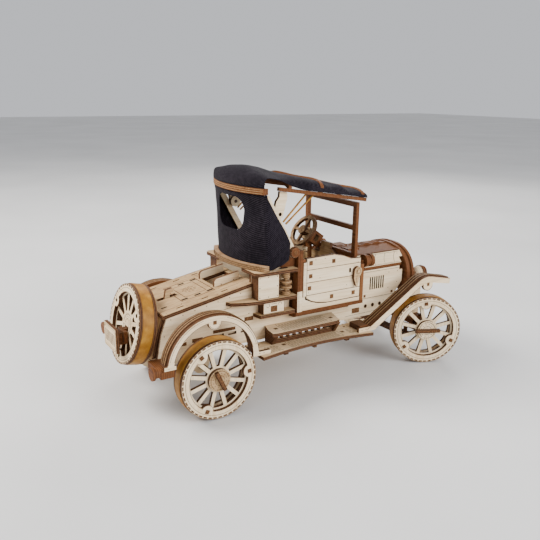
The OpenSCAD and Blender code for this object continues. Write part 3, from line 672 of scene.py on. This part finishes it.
def deck_details():
    marks = Engraving("deck_marks", "root")
    # The near-black fills below are painted shade: inside the deck's slots, behind the bonnet's louvres and
    # in the shelf's hole
    dark = Engraving("painted_slot_shade", "root", "soot_and_painted_shade")
    marks.line(DECK, box_outline(23.5, -20, 53.5, 20), 0.7, closed=True)
    marks.line(DECK, box_outline(29.0, -13.5, 48.5, 13.5), 0.6, closed=True)
    # Painted shade in the deck's slots
    for u, v in ((27.0, -17), (50.5, -17), (27.0, 17), (50.5, 17), (38.8, 17), (38.8, -17)):
        dark.fill(DECK, box_outline(u - 2.8, v - 1.4, u + 2.8, v + 1.4))
    for radius, count in ((2.2, 6), (5.2, 10)):
        for i in range(count):
            u, v = polar(radius, i * 360 / count)
            marks.line(DECK, ring((38.8 + u, v), 0.9, 10), 0.28, closed=True)
    for way in (1, -1):
        marks.line(DECK, [(2, 25.5 * way), (20, 25.5 * way), (21.5, 22.5 * way)], 0.35)
        marks.line(DECK, [(56, 24.5 * way), (74, 24.5 * way)], 0.35)
        marks.dots(DECK, [(4 + 9.2 * i, 31.6 * way) for i in range(9)], 0.45)
        marks.dots(DECK, [(4, 8 * way), (4, 16 * way), (57, 21 * way)], 0.45)
        # Painted shade in the deck's side slots
        dark.fill(DECK, box_outline(5, 19 * way - 1, 10, 19 * way + 1))
    marks.dots(DECK, [(58.5, 0)], 0.45)
    core = Engraving("tail_peg_ends", "root", "toasted")
    for way in (1, -1):
        tail = side(TAIL_FACE * way)
        for u0, v0, u1, v1 in ((39.6, 66, 48.3, 69.6), (10, 60.4, 31, 63.2),
                               (-9, 56, 0.5, 59.4), (-22, 55, -14, 58)):
            marks.fill(tail, box_outline(u0, v0, u1, v1), high=0.06)
            core.fill(tail, box_outline(u0 + 0.7, v0 + 0.7, u1 - 0.7, v1 - 0.7), high=0.10)
        marks.dots(tail, [(-27 + 10.5 * i, 79.2 + 2.05 * i) for i in range(7)], 0.45)
        marks.dots(tail, [(44, 62), (44, 72.5), (-33, 66), (-30, 56), (24, 71), (8, 74)], 0.45)
        marks.line(tail, [(20, 79.5), (33, 82)], 0.3)
        # The locker's cheeks
        cheek = side(CHEEK_FACE * way)
        marks.dots(cheek, [(27, 96.2), (39, 98.6)], 0.5)
        # Painted shade behind the bonnet's louvres: a near-black fill inside each slot
        for i in range(7):
            dark.fill(side(30.2 * way), box_outline(177.55 + 2.65 * i, 72.55, 179.05 + 2.65 * i, 84.95))
        upper = side(BOX_FACE * way)
        marks.dots(upper, [(u, v) for u in (48.2, 65.3) for v in (88.2, 96.6, 105.0)], 0.5)
        marks.dots(upper, [(56.7, 88.0), (56.7, 105.2)], 0.5)
        lower = side(SMALL_BOX_FACE * way)
        marks.fill(lower, box_outline(60.2, 73.4, 66.8, 78.8), high=0.06)
        core.fill(lower, box_outline(60.9, 74.0, 66.1, 75.9), high=0.10)
        core.fill(lower, box_outline(60.9, 76.4, 66.1, 78.2), high=0.10)
        marks.line(lower, arc((57.5, 79.6), 1.5, 200, 420, 10), 0.35)
        marks.line(lower, arc((69.5, 79.6), 1.5, -20, 200, 10), 0.35)
        marks.line(lower, [(61, 80.4), (66, 80.4)], 0.35)
        # Painted shade in the round-ended slot of the level top at 110.2 mm
        dark.fill(level(110.2, way), round_box(68.5, 38.5, 77.5, 42.5, 1.9))
        post = side(BOX_FACE * way)
        marks.line(post, [(86.9, 72), (86.9, 122)], 0.25)
    back = Plane(at(-66.4, 0, 0), (0, -1, 0), Z_AXIS, (-1, 0, 0))
    marks.line(back, round_box(-12.4, 52.6, 13.4, 70.4, 1.6), 0.35, closed=True)
    for i in range(7):
        u = -9.6 + 3.35 * i
        marks.fill(back, round_box(u - 0.75, 56.6, u + 0.75, 66.4, 0.5, 3))
    marks.done()
    dark.done()
    core.done()


def strip_details():
    """Fine cross strokes along the curtain's lower strip, and the header's layered edge."""
    ticks = Engraving("strip_strokes", "root", "seam")
    for i in range(61):
        angle = math.radians(150.5 + 59.0 * i / 60)
        out = Vector((math.cos(angle), math.sin(angle), 0))
        along = Vector((-math.sin(angle), math.cos(angle), 0))
        face = Plane(at(125, 0, 112.7) + out * 86.5 * MM, along, Z_AXIS, out)
        ticks.line(face, [(-0.5, -2.1), (0.5, 2.1)], 0.32)
    ticks.done()
    bands = Engraving("header_layers", "roof", "layer_light")
    for low, high in ((174.6, 175.1), (176.3, 176.8), (177.9, 178.4)):
        bands.fill(level(low), arc((HEADER_MID, 0), 99.62, 154.2, 205.8, 30) +
                   arc((HEADER_MID, 0), 99.4, 205.8, 154.2, 30), low=0.0, high=high - low)
    bands.done()


def round_piece(name, body, material, centre, axis, profile, steps=40):
    """A turned piece: profile is (radius, height) pairs in mm along the axis."""
    axis = Vector(axis).normalized()
    u = axis.orthogonal().normalized()
    v = axis.cross(u)
    bm = bmesh.new()
    rings = [[bm.verts.new(centre + (u * math.cos(a) * r + v * math.sin(a) * r + axis * h) * MM)
              for a in [2 * math.pi * i / steps for i in range(steps)]] for r, h in profile]
    for low, high in zip(rings, rings[1:]):
        for i in range(steps):
            j = (i + 1) % steps
            bm.faces.new((low[i], low[j], high[j], high[i]))
    bm.faces.new(rings[0][::-1])
    bm.faces.new(rings[-1])
    return finish_mesh(name, bm, material, body)


def bosses_and_lamps():
    for name, way in SIDES:
        out = (0, way, 0)
        round_piece("hinge_boss_" + name, "roof", "edge_side", at(81, 44.3 * way, 124), out,
                    ((4.75, 0), (4.75, 2.0), (4.2, 2.75), (1.9, 2.85)))
        round_piece("hinge_pin_" + name, "roof", "toasted", at(81, 46.9 * way, 124), out,
                    ((1.8, 0), (1.8, 0.6), (1.3, 0.9)), 24)
        lamp = at(235, 30.5 * way, 81.5)
        round_piece("headlamp_shell_" + name, "root", "lamp_shell", lamp, (-1, 0, 0),
                    ((5.2, -5.6), (6.4, -5.4), (6.1, -3.4), (4.9, -1.2), (2.6, 0.1)))
        for ring_x in (241.2, 243.9):
            round_piece("headlamp_ring_%s_%d" % (name, ring_x), "root", "seam",
                        at(ring_x, 30.5 * way, 81.5), X_AXIS,
                        ((6.9, -0.15), (6.95, 0), (6.95, 0.3), (6.9, 0.45)))


def burnt_edges():
    """The dark lines that the cut leaves along the plates' edges."""
    edges = Engraving("plate_edges", "root")
    for name, way in SIDES:
        door = Engraving("door_%s_edge" % name, "door_" + name)
        door.line(side(DOOR_FACE * way),
                  [(96, 80.5), (101.1, 77.2), (108.1, 74.9), (118, 73.5), (155.2, 73.5),
                   (155.2, 109.8), (143.9, 110.4), (135.9, 113.8), (125, 116.4), (96, 115.8)],
                  0.4, closed=True)
        door.done()
        edges.line(side(BONNET_FACE * way),
                   [(163.2, 64.7), (163.2, 90.4), (167.1, 92.2), (214.3, 92.2),
                    (214.3, 88.3), (218.3, 88.3), (218.3, 76.1), (208.9, 64.7)], 0.35, closed=True)
        edges.line(side(BOX_FACE * way), box_outline(46.7, 86.4, 66.8, 106.8), 0.4, closed=True)
        edges.line(side(SMALL_BOX_FACE * way), box_outline(53.2, 72.4, 73.8, 82.6), 0.4, closed=True)
        edges.line(side(TAIL_FACE * way), [(-39.5, 47.5), (-35.6, 68), (-30.7, 80.8), (45.6, 95.6)], 0.45)
        plate = side(FENDER_FACE * way)
        edges.line(plate, rear_path(40.2, 4, 170), 0.4)
        edges.line(plate, rear_path(35.4, 98.5, 166), 0.35)
        edges.line(plate, rear_path(35.4, 12, 80.5), 0.35)
        edges.line(plate, arc((-1.7, 80.6), 5.4, 175, 365, 18), 0.35)
        edges.line(plate, front_path(0.2), 0.4)
        edges.line(plate, front_path(6.0)[:2], 0.35)
        edges.line(plate, arc((225.4, 78.4), 5.8, 215, 350, 14), 0.35)
        edges.line(DECK, [(82, 34.6 * way), (0.5, 34.6 * way), (0.5, 0)], 0.6)
    edges.done()


burnt_edges()
fender_details()
step_details()
deck_details()
strip_details()
bosses_and_lamps()


# ---- soft top --------------------------------------------------------------------------------

# The rails' line that the canopy follows: its rear end, its fall to the front, and half the cloth's width
ROOF_X, ROOF_Z, ROOF_DROP, ROOF_HALF = 68.0, 179.0, math.radians(9.5), 44.6
CURTAIN_TOP, CURTAIN_FOOT, CURTAIN_RISE = 173.8, 111.0, 62.8
CLOTH_T = 0.5


def wobble(x, y, z, size, amount):
    """A small, repeatable unevenness, in mm."""
    return amount * noise.noise(Vector((x, y, z)) / size)


def eased(value, knots):
    """A value between (place, height) knots, eased at each."""
    for (a, low), (b, high) in zip(knots, knots[1:]):
        if value <= b:
            t = max(0.0, (value - a) / (b - a))
            return low + (high - low) * t * t * (3 - 2 * t)
    return knots[-1][1]


# Height of the cloth over the rails, from the header to the front: high over the hidden bows,
# low between bows, and hooked under the two bows that show
CLOTH_RIDGE = ((-12, 12.4), (-2, 12.1), (8, 11.0), (22, 9.6), (36, 8.8), (42, 8.2), (50, 6.9),
               (59, 8.3), (62, 8.3), (73, 4.8), (83, 5.6), (88, 5.6), (91, 4.6))


def roof_point(along, y):
    """A point of the cloth over the rails."""
    hoop = (0.93 + 0.1 * (y / 30) ** 2) * max(0.0, 1 - (abs(y) / ROOF_HALF) ** 7) ** 0.5
    tent = 1 - 0.5 * (abs(y) / 43) ** 1.5
    share = eased(along, ((-10, 0.0), (24, 1.0)))
    up = 0.35 + eased(along, CLOTH_RIDGE) * (tent * (1 - share) + hoop * share)
    return Vector((ROOF_X + along * math.cos(ROOF_DROP) + up * math.sin(ROOF_DROP), y,
                   ROOF_Z - along * math.sin(ROOF_DROP) + up * math.cos(ROOF_DROP)))


def bezier(a, b, c, d, t):
    s = 1 - t
    return a * s ** 3 + b * 3 * s * s * t + c * 3 * s * t * t + d * t ** 3


def cloth_sheet(name, rows):
    """A thin closed shell on a grid of points in mm."""
    bm = bmesh.new()
    high, wide = len(rows), len(rows[0])
    layers = []
    for push in (-0.5, 0.5):
        layer = []
        for i, row in enumerate(rows):
            line = []
            for j, p in enumerate(row):
                along = rows[min(i + 1, high - 1)][j] - rows[max(i - 1, 0)][j]
                across = row[min(j + 1, wide - 1)] - row[max(j - 1, 0)]
                out = along.cross(across).normalized() * CLOTH_T * push
                line.append(bm.verts.new(at(*(p + out))))
            layer.append(line)
        layers.append(layer)
    low, top = layers
    for i in range(high - 1):
        for j in range(wide - 1):
            bm.faces.new((top[i][j], top[i][j + 1], top[i + 1][j + 1], top[i + 1][j]))
            bm.faces.new((low[i][j], low[i + 1][j], low[i + 1][j + 1], low[i][j + 1]))
    rim = ([(0, j) for j in range(wide)] + [(i, wide - 1) for i in range(1, high)] +
           [(high - 1, j) for j in range(wide - 2, -1, -1)] + [(i, 0) for i in range(high - 2, 0, -1)])
    for (i, j), (k, m) in zip(rim, rim[1:] + rim[:1]):
        bm.faces.new((low[i][j], low[k][m], top[k][m], top[i][j]))
    return finish_mesh(name, bm, "twill", None, smooth=True)


def canopy_cloth():
    rows = []
    start, stop = -12.0, 90.8
    climb, long, wide = 14, 108, 72
    for i in range(climb + long + 1):
        row = []
        for j in range(wide + 1):
            y = ROOF_HALF * math.sin(math.pi * (j / wide - 0.5))
            soft = eased(ROOF_HALF - abs(y), ((0, 0.0), (9, 1.0)))
            foot = Vector((HEADER_MID - math.sqrt(99.35 ** 2 - y * y), y, 179.35))
            crest = roof_point(start, y)
            if i < climb:
                lean = Vector((0.1, 0, 0.7 * (crest.z - foot.z) + 0.4))
                ahead = (roof_point(start + 6, y) - crest) * 0.9
                p = bezier(foot, foot + lean, crest - ahead, crest, i / climb)
            else:
                p = roof_point(start + (stop - start) * (i - climb) / long, y)
            p.z += wobble(p.x, y, 0, 19, 0.7) * (0.15 + 0.85 * soft) * min(1.0, i / 6)
            row.append(p)
        rows.append(row)
    cloth = cloth_sheet("canopy_cloth", rows)
    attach(cloth, "roof")
    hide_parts("roof_canopy")


def curtain_back(y, z):
    """How far forward the curtain's back lies: an arc that follows the header above, the strip below."""
    t = (CURTAIN_TOP - z) / (CURTAIN_TOP - CURTAIN_FOOT)
    middle, radius = HEADER_MID - 15 * t, 98.0 - 15.8 * t
    return middle - math.sqrt(radius ** 2 - y * y)


def curtain_front(z):
    """The wing's front edge: just behind the arm's, then back along the shelf."""
    if z > 171:
        return 54.1 - 0.2 * (z - 171)
    if z > 118:
        return min(76.0, 54.1 + 0.564 * (171 - z))
    return 76.0 - 15.0 * ((118 - z) / 7.0) ** 1.3


def curtain_point(s, z):
    """s runs from 0 at the middle of the back to 1 at a wing's front edge."""
    edge_y, half, wing_y = 40.0, 0.62, 45.5
    if s < half:
        y = edge_y * s / half
        return Vector((curtain_back(y, z), y, z))
    a = Vector((curtain_back(edge_y, z), edge_y, z))
    d = Vector((curtain_front(z), wing_y, z))
    run = d.x - a.x
    b = a + Vector((1.4, 4.2, 0))
    c = Vector((a.x + min(2.0, 0.4 * run), wing_y, z))
    return bezier(a, b, c, d, (s - half) / (1 - half))


def curtain_cloth():
    rows = []
    high, half = 72, 66
    for i in range(high + 1):
        z = CURTAIN_TOP - (CURTAIN_TOP - CURTAIN_FOOT) * i / high
        row = []
        for j in range(-half, half + 1):
            p = curtain_point(abs(j) / half, z)
            way = 1 if j >= 0 else -1
            low = max(0.0, (130 - z) / 19.0)
            held = min(1.0, (CURTAIN_TOP - z) / 8, (z - 110.5) / 6)
            corner = math.exp(-((p.x - 66) / 10) ** 2 - ((z - 117) / 9) ** 2)
            folds = 0.8 * corner * math.sin(0.7 * (p.x - 0.7 * z)) if p.y > 43 else 0.0
            p.y -= low * (1.1 if p.y > 44 else 0.0) + folds
            p.y *= way
            bow = 0.8 * math.sin(math.pi * (CURTAIN_TOP - z) / CURTAIN_RISE)
            p.x += held * (bow + wobble(p.x, p.y, z, 21, 0.9))
            p.y += held * wobble(p.x + 50, p.y, z, 19, 0.5)
            row.append(p)
        rows.append(row)
    cloth = cloth_sheet("curtain_cloth", rows)
    bm = bmesh.new()
    outline = (arc((11.5, 158.8), 10.5, 0, 90, 10) + arc((-11.5, 158.8), 10.5, 90, 180, 10) +
               arc((-10.0, 151.8), 11.0, 184, 270, 10) + arc((10.0, 151.8), 11.0, 270, 356, 10))
    prism(bm, Plane(at(30, 0, 0), Y_AXIS, Z_AXIS, X_AXIS), outline, 0, 40)
    cutter = finish_mesh("cutter", bm, "twill", None)
    cut = cloth.modifiers.new("window", "BOOLEAN")
    cut.operation, cut.solver, cut.object = "DIFFERENCE", "EXACT", cutter
    mesh = bpy.data.meshes.new_from_object(cloth.evaluated_get(bpy.context.evaluated_depsgraph_get()))
    cloth.modifiers.clear()
    cloth.data = mesh
    bpy.data.objects.remove(cutter)
    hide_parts("rear_curtain")
    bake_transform(cloth)


canopy_cloth()
curtain_cloth()


# ---- stage -----------------------------------------------------------------------------------

def stage():
    s = Shader("floor_paint", roughness=0.55)
    cloud = s.noise(s.coords.outputs["Object"], scale=3.0, detail=5.0)
    s.colour(s.ramp(cloud, ((0.3, (0.60, 0.595, 0.585)), (0.7, (0.68, 0.675, 0.665)))))
    bm = bmesh.new()
    prism(bm, Plane(Vector((0, 0, 0)), X_AXIS, Y_AXIS, Z_AXIS), box_outline(-6000, -6000, 6000, 6000), -20, 0)
    FINISHES["floor_paint"] = s.material
    floor = finish_mesh("floor", bm, "floor_paint", None)

    world = bpy.context.scene.world or bpy.data.worlds.new("World")
    bpy.context.scene.world = world
    world.use_nodes = True
    sky = world.node_tree.nodes["Background"]
    sky.inputs["Color"].default_value = (0.93, 0.95, 1.0, 1.0)
    sky.inputs["Strength"].default_value = 0.72

    def lamp(name, place, size, power, colour):
        data = bpy.data.lights.new(name, "AREA")
        data.shape = "DISK"
        data.size = size
        data.energy = power
        data.color = colour
        made = bpy.data.objects.new(name, data)
        made.location = place
        made.rotation_euler = (Vector((0, 0, 0.07)) - Vector(place)).to_track_quat("-Z", "Y").to_euler()
        bpy.context.scene.collection.objects.link(made)

    lamp("key", (-0.95, 0.55, 1.15), 0.75, 40.0, (1.0, 0.975, 0.94))
    lamp("fill", (0.55, -1.35, 0.75), 1.1, 29.0, (0.97, 0.98, 1.0))
    lamp("rim", (0.9, 0.9, 0.8), 0.8, 9.0, (1.0, 0.98, 0.95))

    # The camera fitted to the photo
    lens = bpy.data.cameras.new("camera")
    lens.lens = 43.43
    lens.sensor_width = 36.0
    lens.clip_start, lens.clip_end = 0.01, 50.0
    camera = bpy.data.objects.new("camera", lens)
    bpy.context.scene.collection.objects.link(camera)
    right = Vector((0.85162443, -0.52402877, 0.01138794))
    up = Vector((0.1291394, 0.23082824, 0.96438651))
    back = Vector((-0.50799493, -0.81982448, 0.26425173))
    turn = Matrix((right, up, back)).transposed().to_4x4()
    camera.matrix_world = Matrix.Translation((-0.319694, -0.486605, 0.254010)) @ turn
    bpy.context.scene.camera = camera


stage()
